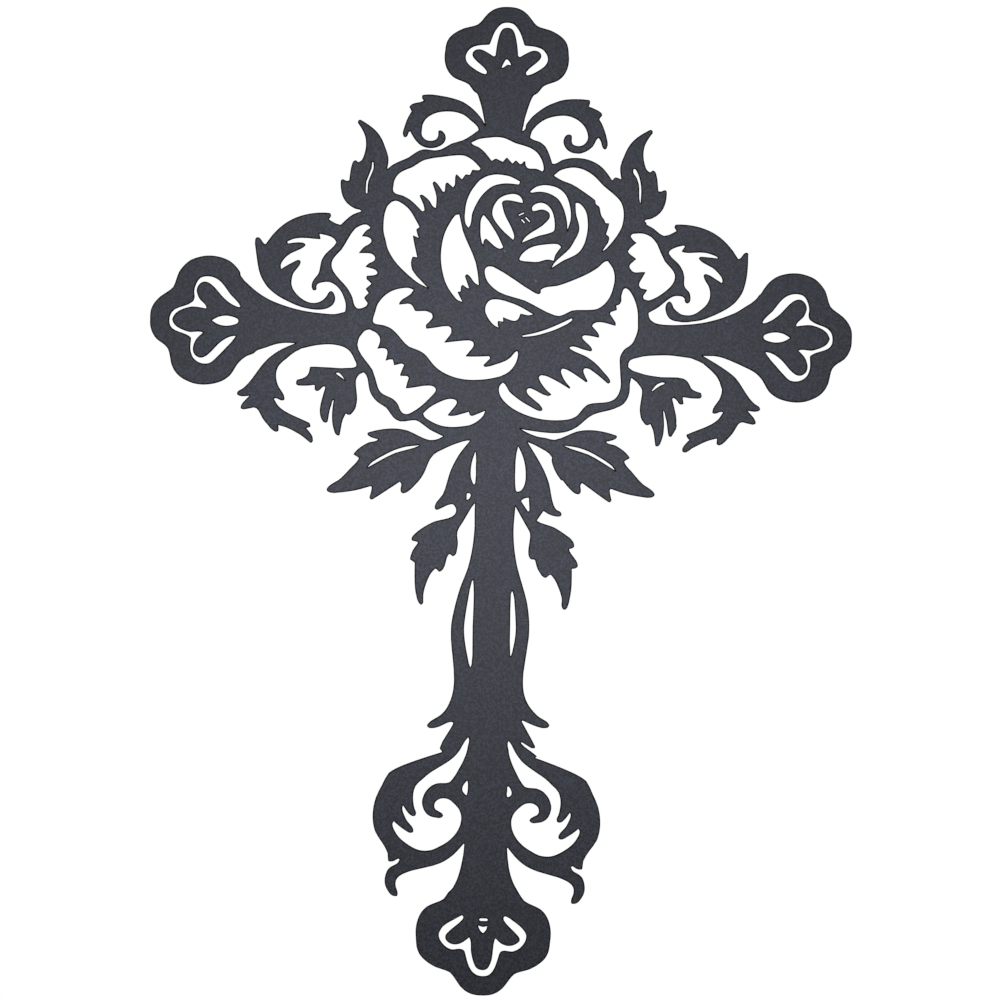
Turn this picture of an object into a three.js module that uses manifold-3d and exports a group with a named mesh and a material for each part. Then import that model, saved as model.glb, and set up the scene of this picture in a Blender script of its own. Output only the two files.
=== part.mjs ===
// A wall cross cut from one flat sheet of steel: a Latin cross with a foil at each end, a full
// rose at the crossing, leaves and scrolls between the arms, and a stem that runs down the shaft.
// The sheet stands upright in XZ and faces -Y. Units are millimetres, +Z is up.
// Its origin is on the back of the sheet, high on the shaft, where it hangs on the wall.
import * as THREE from 'three';
import { mergeVertices } from 'three/addons/utils/BufferGeometryUtils.js';
import Module from 'manifold-3d';

const wasm = await Module();
wasm.setup();

// Driving sizes
const crossHeight = 300;
const sheetThickness = 2;

// The cross is drawn on squared paper: so many squares make its height, and every place in
// the drawing is counted in squares, across and up, from the crossing of the two arms.
const squaresHigh = 300;
const square = crossHeight / squaresHigh;

// How far above the crossing the sheet hangs, in squares
const hangingPlace = 65;

// A curve becomes straight runs that stay this close to it, in squares
const closeness = 0.165;
const stepsPerPoint = 8;

// Drawing. An outline is written as places, with a slash at each corner: between two slashes
// the pen runs smoothly through its places, on from where it stood.
const draw = (text) => text.trim().split('/').map((stroke) => (
  stroke.trim().split(/\s+/).map((place) => place.split(',').map(Number))));
const mirror = (outline) => outline.map((stroke) => stroke.map(([x, z]) => [-x, z]));
const shift = (outline, across, up) => outline.map((stroke) => (
  stroke.map(([x, z]) => [x + across, z + up])));
const bothSides = (outline, across = 0, up = 0) => [
  outline, shift(mirror(outline), across, up)];

// The pen's way along an outline, as points
function penLine(outline) {
  const line = [outline[0][0]];
  outline.forEach((stroke, index) => {
    const places = index === 0 ? stroke : [line.at(-1), ...stroke];
    line.push(...straighten(smooth(places)).slice(1));
  });
  return line;
}

function smooth(places) {
  if (places.length < 3) return places;
  const curve = new THREE.CatmullRomCurve3(
    places.map(([x, z]) => new THREE.Vector3(x, 0, z)), false, 'centripetal');
  return curve.getPoints((places.length - 1) * stepsPerPoint).map(({ x, z }) => [x, z]);
}

// Keeps only the points that a line needs to stay close to its curve
function straighten(points) {
  const first = points[0];
  const last = points.at(-1);
  let away = 0;
  let farthest = 0;
  points.forEach((point, index) => {
    const distance = distanceFromRun(point, first, last);
    if (distance > away) [away, farthest] = [distance, index];
  });
  if (away <= closeness) return [first, last];
  return [
    ...straighten(points.slice(0, farthest + 1)).slice(0, -1),
    ...straighten(points.slice(farthest)),
  ];
}

function distanceFromRun([x, z], [ax, az], [bx, bz]) {
  const run = Math.hypot(bx - ax, bz - az);
  if (run < closeness) return Math.hypot(x - ax, z - az);
  return Math.abs((bx - ax) * (z - az) - (bz - az) * (x - ax)) / run;
}

// Foils: each end of the cross. Half of one is drawn as (out from its middle, in from its tip).
const foilEdge = draw(`0,0 3.5,0.5 6,2.1 8,4.6 9.7,6.7 11.5,7.5 14,8.2 16.7,9.7 19.4,12.5
  20.3,17 20.3,20.5 19.3,23.8 17.4,26.2 14.8,27.5 12.2,28.8 10.2,31.5 / 0,38`);
const footFoilSlot = draw(`0,5.6 2,6 3.4,7.5 4.5,10.2 5.1,12.4 / 5.5,13.2 6.3,13.5 7.6,13.2
  9.4,13.4 11,14.2 12.3,15.5 13,16.9 13.2,18.2 12.9,19.3 12.1,20.2 11,21.4 9.4,22.4 7.6,23.6
  6.7,24.2 6.1,24.1 5.9,23.6 6,22.9 6.7,22.1 9.4,19.3 10.7,17.9 11.1,17.1 11,16.5 9.9,15.8
  8.5,15.3 7.2,15.3 5.6,15.9 4.5,16.7 3.9,17.4 / 3.6,17.3 3.2,15.8 3,13.5 2.7,11.1 2.2,9.5
  1.5,8.2 0,7.7`);
const footFoilLeftSlot = draw(`0,5.6 2.2,6.2 3.8,7.9 4.8,10.2 5.4,12.4 / 5.7,13.2 6.5,13.7
  8,13.5 9.6,13.5 11.2,14.2 12.5,15.4 13.3,16.7 13.6,18 13.2,19.3 12.5,20.5 11,21.5 9.4,22.6
  7.4,23.8 6.7,24.2 6.2,24 6,23.4 6.3,22.9 7.4,21.6 9.2,19.9 10.9,18.4 11.4,17.5 11.1,16.5
  9.8,15.5 8.3,15.3 6.9,15.6 5.8,16.4 4.8,17.3 4.2,17.6 / 3.8,16.9 3.6,14.2 3.1,11.7 2.6,9.9
  1.6,8.2 0,7.7`);
const topFoilSlot = draw(`0,5.5 2,6 3.5,7.7 4.5,9.6 5.2,12.4 5.8,13.9 /
  8.4,14 10.5,14.5 12.1,15.4 13.3,17.1 13.7,18.8 13.3,20.5 12.1,22.1 9.9,23.5 7.8,24.9 6.7,25.1
  6.3,24.1 7.5,22.4 9.3,20.6 10.9,18.8 11.3,17.4 10.9,16.6 9.3,15.9 7.2,16.6 5.4,17.8 4.3,18.5 /
  3.7,18.2 3.5,16 3.1,13.4 2.5,10.4 1.6,8.3 0,7.7`);
const armFoilUpperEdge = draw(`0,0 2.8,0.2 5,1.3 6.5,2.6 8,4.5 9.7,6.7 11.2,7.2 12.8,7.8
  14.6,8.5 16.3,9.8 17.8,11.4 18.8,13.6 19.4,16 19.5,18 19.3,20 18.7,22.1 17.7,24.1 16.4,25.5
  14.7,26.6 12.5,28 11,29.5 9.8,31.2 / 0,36`);
const armFoilLowerEdge = draw(`0,0 2.6,0.2 4.7,1.1 6.2,2.3 7.7,4.5 8.9,5.6 10.4,6.1 12.1,6.4
  13.8,6.9 15.4,7.7 16.9,9 18.1,10.8 19,13 19.4,15 19.4,17 19.2,19 18.5,21.4 17.5,23.3 16.3,24.6
  14.8,25.6 13.2,26.5 11.8,27.7 10.6,29.2 9.2,32 / 0,36`);
const armFoilUpperSlot = draw(`0,5.6 1.9,6.1 3.3,7.4 4.1,9 4.9,11 5.5,12.5 / 6.3,13 8.6,12.9
  9.9,13.1 11.6,13.7 12.9,14.8 13.4,16.3 13.4,17.9 13,19.3 12.2,20.7 11,21.9 8,24.2 5.3,26.8
  4.5,27.3 4.1,27 5.1,24.3 6.4,22.5 8,20.8 10,18.9 11.2,17.6 11.6,16.2 11.2,15.1 10.3,14.3
  9.1,13.9 7.8,14.2 6.3,14.9 4.2,16.9 / 3.5,16.9 3.7,14.6 3.9,12.4 3.3,10.4 2.5,8.5 1.1,7.1 0,6.6`);
const armFoilLowerSlot = draw(`0,5.6 1.9,5.9 2.9,6.7 3.8,8.8 4.6,11 5.4,12.4 / 6.2,12.5 8,12.2
  9.6,12.3 11.2,12.9 12.3,13.9 13.1,15.4 13.3,17 12.9,18.6 11.7,20 9,22.3 6.2,24.8 4.7,26.1
  4.3,26.1 4.7,24.3 5.7,22.3 7.1,20.6 8.9,19 10.4,17.5 11.2,16.1 11.2,14.8 10.2,13.6 8.9,13.2
  7.2,13.5 5.8,14.2 3.8,16.2 / 3.5,15.7 3.6,12 2.9,9.9 2.2,8.2 1.1,7.1 0,6.6`);
const armFoilEye = draw('0,18.4 1.1,20.2 1.65,22.7 1.3,25.2 0.6,26.6 0,26.8');

const topFoil = { tip: [0, 97.7], inward: [0, -1], across: [1, 0], wide: 0.92, deep: 0.82 };
const footFoil = { tip: [0, -202.3], inward: [0, 1], across: [1, 0], wide: 1, deep: 1 };
const leftFoil = { tip: [-106, 0.3], inward: [1, 0], across: [0, 1], wide: 1, deep: 1 };
const rightFoil = { tip: [106.9, -0.3], inward: [-1, 0], across: [0, 1], wide: 1, deep: 1 };

// Both halves of a foil's outline, at the foil's place in the drawing
function onFoil({ tip, inward, across, wide, deep }, half, otherHalf = half) {
  const back = penLine(otherHalf).map(([out, down]) => [-out, down]).reverse();
  return [...penLine(half), ...back].map(([out, down]) => [
    tip[0] + inward[0] * down * deep + across[0] * out * wide,
    tip[1] + inward[1] * down * deep + across[1] * out * wide,
  ]);
}

// Arms and shaft, with the plain runs between the foils and the middle
const leftArm = draw(`-84,10 / -80,13.2 / -77,13 / -70,8 / -60,4.5 / -46.5,4.5 / -36,3.9 /
  -36,-12.9 / -43.2,-12.9 / -46,-9 / -60,-7 / -61.4,-5.9 / -66,-5.9 -70,-7.1 -74,-8.7 -76,-9.6 /
  -84,-9`);
const shaftTop = draw(`-9,72 -8.05,70 -7.4,68 -6.3,64 -5.8,61 / -5,52 / 5,52 / 5.3,60 5.5,62
  5.9,64 7,68 7.7,70 8.8,72`);
const shaftFoot = draw(`-6,-150 / -6.4,-157 -6.6,-160 -7.3,-163.7 -8.5,-168 -10.2,-171 / 0,-173 /
  10.2,-171.5 8.6,-168 7.5,-165 6.9,-162 6.5,-158.5 / 6,-150`);

// Stem: the vine that swells round the shaft, then throws a thorn and a tooth to each side
const stem = draw(`-4,-33 / -5.9,-53.3 / -5.8,-58 -5.9,-62 -6.1,-65 -6.6,-68 -7.6,-73 -8.75,-76.3
  -9.75,-79 -11.2,-84.7 -12,-89 -12.2,-92 -12,-95.5 -11.5,-100 -11,-104.5 -10.8,-108.3
  -11.2,-111 -12.3,-114.5 -13.5,-116.5 -15,-118 -16.75,-119.2 -18.5,-120.4 -18.8,-121
  -18.1,-121.6 -16.2,-121.4 -13.5,-120.4 -11.5,-119.5 -10.9,-119.6 / -10.75,-120.1 -11.75,-122.2
  -13,-124.7 -14.6,-127.5 / -14.6,-128.1 / -13.9,-128.4 / -14,-129 / -12,-131 / 12,-131 /
  14.8,-129.5 / 14.8,-127.3 / 14.25,-126.5 13,-124.2 12,-122.7 9.8,-118.9 / 10,-118.5 12.5,-119.5
  14.5,-120.2 17,-120.7 18,-120.5 18.4,-119.9 18,-119.3 16,-118.2 14.2,-116.7 12.7,-115.2
  11.5,-113.5 10.6,-111.5 10,-108.7 9.95,-104.5 10.25,-101 10.9,-96.7 11.3,-93.5 11.4,-90.5
  10.9,-85 9.9,-80.5 9,-77.5 8,-74.7 7,-71.2 6.4,-68 5.9,-64 5.8,-60 6.2,-53.4 / 4,-33`);
const leftVine = draw(`-3,-33 / -7.4,-33.5 -9,-35.8 -11.5,-39 -13,-42 -14.3,-45.5 -15,-48.5
  -15.9,-51 -17,-52.8 -18.1,-54.1 -18.2,-54.8 -17.8,-55.4 -16.3,-55 -14.5,-54.1 -13,-53.4
  -12.2,-53.8 -11.6,-55 -11.7,-56.2 -12.8,-57.4 / -11,-61.1 / -9.2,-58 -7,-54.5 -6.2,-53.1 /
  -3,-52`);
const rightVine = draw(`3,-33 / 8.8,-33.6 11,-37 13,-40 15,-43.4 16.2,-46.5 17.2,-51 18,-53.5
  19,-54.7 20,-55.1 20.4,-55.9 19.9,-56.4 18,-56.2 16.5,-55.7 14.8,-54.7 / 12.8,-57.8 / 12.9,-58.4 /
  11,-61.5 / 9.9,-59.9 8.3,-57 6.7,-54 6.2,-53.4 / 3,-52`);
const hangingLeaflet = draw(`-12.8,-57.4 -15,-58.2 -18,-59 -20,-60 -22.3,-61.5 -24.2,-63.2
  -25,-64.5 -24.9,-64.9 / -23,-65.2 -22.9,-65.6 / -24.2,-67.5 -25,-69.3 -25.3,-70.6 / -23.7,-71.5 /
  -23.7,-74 -23.6,-77 -23.3,-80 -22.6,-82.5 -22.2,-83.8 -21.6,-84.4 -21,-84 -21.1,-82 -20.8,-79.5
  -19.8,-76.6 -18.5,-74 -17.6,-73.1 / -17.1,-73.3 -16.4,-74.2 -15.9,-74 -15,-72.7 -14.2,-70.5
  -13.7,-68.8 -13.2,-68.5 / -12.3,-69.4 / -11.6,-68.8 -11.1,-66.5 -11,-65 -11.3,-62.5 -10.9,-60.9
  -9.2,-58 / -9.2,-55.5`);

const rightHangingLeaflet = draw(`12.9,-58 15,-58.8 18,-59.8 20,-60.9 21.4,-61.9 23.2,-63.2
  24,-63.9 24.4,-64.7 24.5,-65.3 / 24.3,-65.6 22.8,-66.1 / 22.9,-66.7 23.6,-67.7 24.4,-68.8
  25.1,-69.9 25.7,-71.1 25.6,-71.6 25,-71.9 / 23.8,-72.1 / 23.7,-73.8 23.9,-76.2 23.9,-77.8
  23.6,-79.8 23.2,-82 22.7,-84.1 22.2,-84.6 21.6,-84.6 21.3,-84.1 21.3,-82.8 21.2,-81.2
  20.5,-78.9 19.7,-77.1 18.8,-75.4 17.8,-74.1 17.3,-74.1 16.4,-75 15.9,-75.2 15.3,-74.8
  14.5,-73.8 13.7,-72.6 13.1,-71.3 12.9,-70.2 / 12.7,-69.6 11.4,-69.6 11,-69.1 10.8,-68.3
  10.7,-66.7 10.8,-65.2 11,-63.1 11,-61.5 9.3,-58.6 / 9.3,-56.1`);

// Scrolls at the foot of the shaft, left one, with the curl that hangs from its heel
const footScroll = draw(`2,-125 / -12,-126.5 / -14,-129 / -16.2,-129.9 -20,-131.1 -22.5,-132
  -25,-133 -27,-133.9 -28.7,-134.9 -29.9,-135.7 / -30.75,-137.7 -32,-140 -33.5,-143 -34.1,-145.3
  -34.4,-148 -34.2,-151 -33.5,-153.5 -32.2,-155.8 -30.7,-158 -29.6,-159.8 / -29.4,-162.5 /
  -28,-162.3 -27,-161.6 -26.3,-161.4 -25.8,-161.8 -26.5,-163 -28.5,-164.2 -29.5,-165.2
  -30.1,-166.8 -30.2,-168.5 -30,-169.8 -29.2,-171.3 -28.2,-172.5 -27.2,-173 -26.4,-172.9
  -26.4,-172.2 -26.8,-171 -27.1,-169.7 -27.1,-168.5 -26.6,-167.4 -25.5,-166.4 -23.5,-165.5
  -21,-164.6 -18,-163.9 -15.2,-163.1 -12.7,-162 -10.5,-160.5 -8.5,-158.5 -7.2,-156.8 -6.7,-156.4 /
  2,-156.4`);
const footScrollEye = draw(`-6.1,-124 -6.75,-124.7 -7.5,-126.2 -9,-128.5 -10.2,-130 -12,-131.5
  -14,-132.9 -16.2,-134.2 -18.5,-136 -20.5,-138 -21.8,-139.3 -22.4,-141.2 -22.5,-143.5 -22.2,-145
  -21.9,-146.5 -21.4,-147.8 -21.6,-148.4 -22.2,-148.5 -23.2,-148 -24.4,-146.5 -25.4,-145.1 /
  -25.7,-145.7 -25.2,-148 -24.2,-150 -23,-151.5 -22.1,-152.7 -22.1,-153.4 -22.7,-153.6
  -23.8,-153.2 -25.5,-152.2 -28.1,-150.1 / -28.5,-150.8 -28.4,-152 -27.5,-153.8 -26,-155.6
  -24,-157.1 -22,-158.2 -20,-159 -18,-159 -16,-158.7 -14,-157.7 -12,-156.5 -10.2,-155 -8.7,-153
  -7.8,-151 -7.5,-149.2 -7.6,-147.7 -8.2,-146.2 -9.5,-144.7 -10.8,-143.5 -12,-142.9 -13.5,-142.8
  -14.8,-143.2 -15.8,-144.2 -16,-145.5 -15.5,-146.5 -14.2,-147.1 -13.4,-147.6 -13.1,-148.2
  -13.4,-148.6 -14.5,-148.8 -16.2,-148.5 -17.8,-147.9 -18.9,-146.5 -19.4,-145 -19.5,-143.5
  -18.9,-141.7 -18,-140.4 -16.7,-139.2 -15,-138.5 -11.5,-138.1 / -10.7,-137.4 -9.2,-134.7 -8.2,-133
  -7.2,-131 -6.5,-129 -5.9,-126.2 -5.8,-124.7`);

// Scrolls over the rose
const topScroll = draw(`-4,62 / -5.9,61.4 / -6.6,62.7 -8.2,64.8 -10,66.4 -12,68 -14.5,69.1
  -18.5,70 -22.5,70.5 -25.3,70.4 / -25.3,69.4 -24.7,68.8 -25,68.5 / -27,67.9 -28.7,67.3
  -29.2,66.7 / -28.6,66.1 -28.3,65.4 / -29,64.3 -30,61.8 -30.9,58.3 -30.7,57.7
  -30.1,57.5 -29.6,57.9 -29.2,59.1 -28.8,59.5
  -28.3,59.1 -27.5,57.5 -26.3,56 -24.5,54.8 -22.3,54.5 -20,55 -18.4,56.3 -18,57.8 -18.5,59
  -19.3,59.7 -20.2,59.7 / -20.3,59 -20.1,58.2 -20.5,57.2 -22,56.5 -23.8,56.7 -25.2,58 -25.3,60
  -25,61.8 -24,63.4 -22,64.8 -19.5,65.6 -16.5,65.7 -14,65.4 -12.1,64.6 -10.6,63.4 -9.2,62
  -8,61 -7.8,60.2 / -7,57 / -4,57`);

const rightTopScroll = draw(`4.1,61.8 / 6,61.2 / 6.7,62.5 8.3,64.6 10.1,66.2 12.1,67.7 14,68.5
  16.6,69.7 20,70.2 22.7,70.3 25.5,70.2 / 25.6,69.6 25.2,68.9 25.1,68.2 / 26,67.8 27.3,67.3
  28.6,66.7 29.3,66.1 29.4,65.6 / 28.6,64.8 28.5,64.3 / 29.1,63.5 29.6,62.2 30.1,61 30.6,59.7
  31,58.4 31.2,57.2 31.2,56.2 31,55.6 30.5,55.4 30,55.8 29.5,57.4 29,58.5 28.7,59 28.3,58.9
  27.9,58.1 27.3,57 26.6,56.1 25.6,55.2 24.4,54.6 23.3,54.1 22.1,54 20.8,54.2 19.8,54.6
  18.9,55.4 18.3,56.2 18,57.2 18.1,58.2 18.8,59.3 19.5,59.6 20.1,59.5 20.4,59.1 / 20.3,57.4
  20.5,56.8 21.2,56.3 22.3,56.1 23.4,56.2 24.4,56.8 25.1,57.7 25.4,58.5 25.3,59.7 25,60.9
  24.4,62 23.5,63 22.5,63.9 21.2,64.6 19.8,65.2 18,65.4 16.2,65.3 14.3,64.9 12.3,64.2
  10.6,63.1 9.2,61.8 8.2,60.4 / 7.1,56.8 / 4.1,56.8`);

// Leaves above an arm, left side: a leaf beside the rose, then a long acanthus leaf
const leavesOverArm = draw(`-35.6,47.3 / -35.3,49 -35.2,50.8 -35.6,52.3 -36.3,53.7 -36.8,55.5
  -38,57.7 -40,59.8 -42,61.2 -43.5,62.2 -44.2,62.4 -44.7,61.7 -44.4,61 -43.2,59.5 -42.2,57.3
  -41.9,55 -42.2,52.5 -43,50.3 -43.6,49.6 -44.3,49.3 -45,50.1 / -45.7,49.6 -46.2,47.8 -46.6,45.5
  -46.7,43.8 / -47.5,43.6 -48.7,44.2 -49.3,44 -49.4,43.5 -49.1,41 -48.3,38.5 -46.8,36.7
  -44.5,35.4 -43,35 -42.7,34.6 -43.3,34.2 -45.5,33.4 -48,31 -49,30.2 -50,30.4 -51.3,31 -52.9,31.9 /
  -52,33.1 -52.3,33.8 / -56,33.7 -60,33 -64,31.4 -67,29.3 -69.5,26.7 -70.9,24.7 -71.5,23.8
  -72,23.8 -72.8,24.8 -73.6,25.7 -74.3,25.9 -74.8,25.3 / -77.5,12 / -77,8 / -50,0 / -36,0 / -30,40`);
const leafSlit = draw(`-39.5,49.6 -39.4,48 -40.1,46 -40.9,43.8 -41.1,40 / -41.8,40 /
  -41.7,43.8 -40.9,46.1 -40.2,48 -40.1,49.9`);
const gapOverArm = draw(`-77,26 / -79.2,14.4 / -78.3,13 -76.8,11.5 -75,10 -72.5,8.4
  -70,6.9 -65,5.1 -60,3.9 -55,3.3 -50,3.1 -46.9,3.9 / -46.7,5.5 -47.1,7.5 -48.2,10 -50,12
  -52,13 -54,12.9 -55.6,12.3 -56,11.4 -55.9,10.6 / -56.4,10.2 -57,10.5 -57.3,11.5
  -57,12.9 -56.3,13.9 -55.3,15.3 -55,17 -54.4,19.5
  -53,21.7 -51,23.6 -50.1,24.9 / -50.9,26.2 -53,27.1 -55.6,27.6 / -55.3,26.9 -55,25.8 / -57,26
  -60,26.2 -63,25.9 -65.3,24.9 / -65,24.1 / -62.5,24.4 -60.2,24.5 -59.5,23.9 -61.5,22.6
  -64.3,21.2 -66.3,19.3 -67.1,17.5 -66.9,16.2 / -65,17.4 -62.5,18.9 -61.3,19.3 -60.9,18.8
  -61.5,17.9 -62.9,15.9 -63.6,13.5 -63.5,11.3 -62.3,9.3 -60,7.3 -57.8,6.4 -55.8,6.4 -54,7.1
  -52.7,8.5 -52.1,9.7 -51.6,10.1 -51,9.9 -50.3,8.6 -50.3,7.2 -51.3,5.7 -53.2,4.8 -56,4.5 -60,5.1
  -64,6.6 -68,8.7 -71,11.3 -73,14.7 -74,19 -74.6,23 -74.8,25.3`);

const rightGapOverArm = draw(`77,25.2 / 79.2,13.4 / 78.3,11.8 76.8,10.4 75,8.9 72.5,7.4 70,6
  65,4.3 60,3.1 55,2.6 50,2.5 47.5,2.9 46.2,3.5 45.3,4.6 45,5.6 45,6.2 / 46.5,7.1 48,8 49.2,8.9
  50.5,9.9 51.4,10.8 52.2,11.3 53.2,11.6 54.1,11.6 55.1,11.5 55.8,11.1 56.1,10.4 56.2,9.7 /
  56.7,9.3 57.2,9.5 57.6,10.3 57.6,11.2 57.4,12.2 56.8,13.2 56,13.9 55.6,14.8 / 55.6,16.9
  55.4,17.9 55,19.2 54.4,20.3 53.8,21.1 53,21.9 52,22.8 51.2,23.6 50.7,24.4 50.9,25.1 /
  51.6,25.6 52.8,26.3 54.1,26.7 55.5,27 55.8,26.7 55.5,26.2 54.9,25.6 54.7,25.2 / 54.9,24.9
  58.2,24.9 60.6,25 62.6,24.8 64.2,24.2 65.6,23.7 65.9,23.4 65.6,23.1 / 63,23.4 61,23.6
  60.1,23.5 59.9,23.1 60.3,22.6 / 63,21.1 64.4,20.3 65.6,19.2 66.6,18.2 67.2,17.3 67.4,16.3
  67.1,15.6 / 65.6,16.5 62.6,18.2 62,18.4 61.6,18.2 61.6,17.7 / 62.6,15.9 63.3,14.6 63.7,13.2
  63.7,11.9 63.6,10.8 63.1,9.5 62.2,8.4 61,7.3 59.8,6.4 58.4,5.8 57.1,5.6 54.9,5.9 53.5,6.9
  52.5,7.9 52,8.9 51.7,9.6 51.3,9.8 50.8,9.4 50.4,8.4 50.3,7.5 50.6,6.4 51,5.4 52,4.4 53.5,3.9
  56,3.7 60,4.1 64,5.6 67,7 69.3,8.4 71.4,10.2 73.5,13.5 74.5,18 74.9,22.2 74.8,24.5`);
const rightLeafSlit = draw(`39.6,49.8 40,49.7 40.4,49.2 41,47.9 41.5,46.6 41.8,45 42,43.5
  42,41.4 41.9,39.4 / 41.6,39.3 41.5,40.9 41.4,42.5 41.2,44.1 40.8,45.6 40.4,46.7 39.9,47.7
  39.3,48.5 39.1,49.2 39.3,49.7`);

// Leaves below an arm, left side: an acanthus leaf on a bowed stalk, and a leaf that hangs
const acanthusUnderArm = draw(`-58,-5 / -61.4,-5.9 / -64,-7 -67.5,-9 -70.5,-11.5 -73,-14.8
  -75.5,-18.3 -77.5,-20.3 -79,-21.3 -79.2,-21.9 -78.5,-22.3 -77,-22.4 -75,-22.1 / -76,-23.5
  -77.5,-25 -78,-25.9 -77.7,-26.4 -75.5,-26.1 -74,-25.7 -73,-26 / -71.9,-27.9 -70.5,-29.7
  -68.5,-31.9 -67.5,-32.8 -66.8,-33 -66.2,-32.5 -66.5,-30.8 / -64.5,-31.3 -61.5,-32.6 -59,-34
  -57.3,-35.5 -56.3,-36.2 -55.8,-35.7 -56,-34.2 -57.2,-32.6 -58.1,-31.6 / -57.2,-31.4 -56.5,-31.2
  -56.8,-30.2 -58.5,-29.4 -61,-28.4 -64,-27.1 -66.5,-25.3 -67.8,-23.6 -68,-22.9 -66.7,-22.8
  -65.5,-23.4 -64.7,-23.3 -65,-21.9 -66.2,-20.3 -67.2,-18 -67.6,-15.5 -66.9,-13 -65.2,-11.2
  -63.3,-9.6 -61.8,-8.4 -60.2,-7.6 -58.4,-6.95 -57,-6.6`);
const leftGapUnderArm = draw(`-57.2,-13 / -60.2,-7.6 -58.4,-6.95 -57,-6.6 -55,-6.3 -52,-5.9 -48.5,-6.2
  -46,-7.2 -44.5,-8.8
  -43.8,-10.5 -43,-12 -43.2,-12.7 -44.5,-13.1`);
const rightGapUnderArm = draw(`58.2,-15.8 / 60,-7.95 59,-7.45 58,-7.1 56,-6.8 52,-6.5 48,-6.6 44,-7 41,-7.8
  39.7,-8.5 39.3,-9.6 39.3,-10.6 / 40.5,-11.5 43,-12.4 46,-13 50,-13.4 56,-13.6 / 56.9,-14`);
// Where the right leaves differ from the left ones turned over, in the edge or in a gap beside it
const rightBandLowerEdge = draw(`62.1,-8.9 63.6,-9.8 65,-11 66.5,-12.8 67.5,-14.6 68,-16.4 /
  69,-16 / 68.4,-13.5 66.5,-11 64,-9`);
const rightBandUpperGap = draw(`61.5,-6.35 63.5,-7.5 66.4,-9.3 70,-11.4 71.8,-12.95 / 72,-12.4 /
  70,-10.6 66.3,-8.2 62.4,-6.4`);
const rightBandToothGap = draw('56.8,-31.9 / 57.45,-30.5 57.8,-30.9 58.6,-32.1 / 57.8,-32.2');
const rightBandTipGap = draw(`56,-37 / 56.4,-35.4 56.8,-35.8 57.3,-35.9 58,-35.55 59.3,-34.6 /
  59.8,-34.7 / 58,-37`);
const rightLeafTooth = draw('54.8,-20.9 55.8,-21.4 56.5,-21.2 56.4,-20.2 56,-19.2 / 55,-19');
const rightLeafTip = draw(`52.1,-30 52.2,-31 52.5,-31.4 52.9,-31.4 53.3,-30.8 53.9,-29.5 54.5,-28 /
  54.3,-27 / 53,-29.5`);
const rightLeafInnerEdge = draw(`17,-39.2 17.3,-40.5 17.9,-42.1 18.7,-43.5 20,-45.5 / 20.6,-45.2 /
  19.4,-42.5 17.8,-38.9 17.2,-38.4`);
const rightGapBesideStalk = draw(`40.15,-14.3 / 40.35,-13.65 40.9,-13.9 41.6,-14.4 42.4,-15.1
  43.1,-16 / 42,-16.3 / 40.2,-15.6`);
const rightGapOverLeaf = draw(`43.6,33.9 / 43.6,32.9 44.4,32.5 45.5,31.9 47,30.9 48.2,29.9 /
  49,29.6 / 49,30.6 / 46.5,33.2 45,34`);
const hangingLeaf = draw(`-43.2,-12.7 -44.5,-13.1 / -57.2,-13 / -57.3,-14.4 -57.9,-15.7 -59.2,-16.6
  -61.2,-17.2 -61.2,-18.4 -59,-18.7 -57,-18.5 -55.5,-18.3 / -55.5,-20 -54.6,-20.2 -53.6,-19.2
  -52.8,-18.7 -52.3,-19 -52.4,-20 -53,-22 -53.7,-25 -53.7,-27 -53.2,-28.7 -52.3,-29.8 -51.6,-29.7
  -51.3,-28.5 -51.1,-26.5 -50.6,-24.5 -50,-22.8 / -49.6,-22.6 / -49.9,-25 -50,-28 -49.8,-30
  -49.2,-32.3 -48.5,-33.5 -47.8,-33.6 -47.5,-32.5 -47.1,-29.5 -46.5,-27.4 -46,-26.7 / -45.2,-27.2
  -44.6,-27.2 -43.5,-25.8 -42.9,-24 -42.8,-21.5 -43.1,-19.5 -43.3,-17.2 -43,-15.8 -42,-14.6
  -40.8,-14.1 / -38.5,-13.5`);
const rightHangingLeafStalk = draw(`39,-10 / 56.5,-12 / 56.5,-15 / 43,-16 / 42.3,-15.1 /
  41.3,-14.1 40.4,-13.7`);
const hangingLeafSlit = draw(`-49.3,-14.6 -48.5,-14.5 -47.5,-15.2 -46.3,-17 / -47.5,-16.3
  -49.3,-15`);
const rightHangingLeafSlit = draw(`46.5,-17.6 47.3,-16.5 48.4,-15.3 49.8,-14.8 50.7,-14.9 /
  50.6,-15.4 49.8,-15.7 48.4,-16.7 47,-17.7`);

// Leaves below the rose, left one
const leafUnderRose = draw(`-17.6,-33.9 -20,-34.4 -22,-33.9 -24.5,-32.8 -27,-31.7 -30,-31.2
  -33.5,-31.3 -37,-32 -39.2,-32.6 -39.2,-33.1 -38.5,-33.6 -36.5,-34 -35.7,-34.4 / -36.2,-34.9
  -38.5,-35.5 -40.8,-36.8 -42.5,-38.2 -43.4,-39.2 / -43,-39.5 -41.7,-40 / -41.6,-40.6 -43.2,-42.6
  -45,-44.6 -46.8,-46.5 -48.5,-48 -50.8,-49.5 -51.1,-50.4 -50.5,-50.9 -48.5,-50.8 -45,-50.5
  -42,-49.9 -39.8,-49.1 -37.8,-48.6 / -37.4,-49 -37.8,-51.2 -38.1,-52.2 -37.6,-52.9 -36.8,-52.5
  -35,-51.2 -32.5,-49.5 -29,-47 / -28.5,-47.5 -28.6,-50 -28.1,-50.6 -27.2,-50.4 -25,-48.5
  -23.2,-46.5 -21.8,-44.2 -20.8,-41.7 -19.8,-39.5 -18.7,-38.3 -16,-37 -14.5,-36 -10.5,-34.4
  -7.4,-33.5 / -12,-33.2`);
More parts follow.
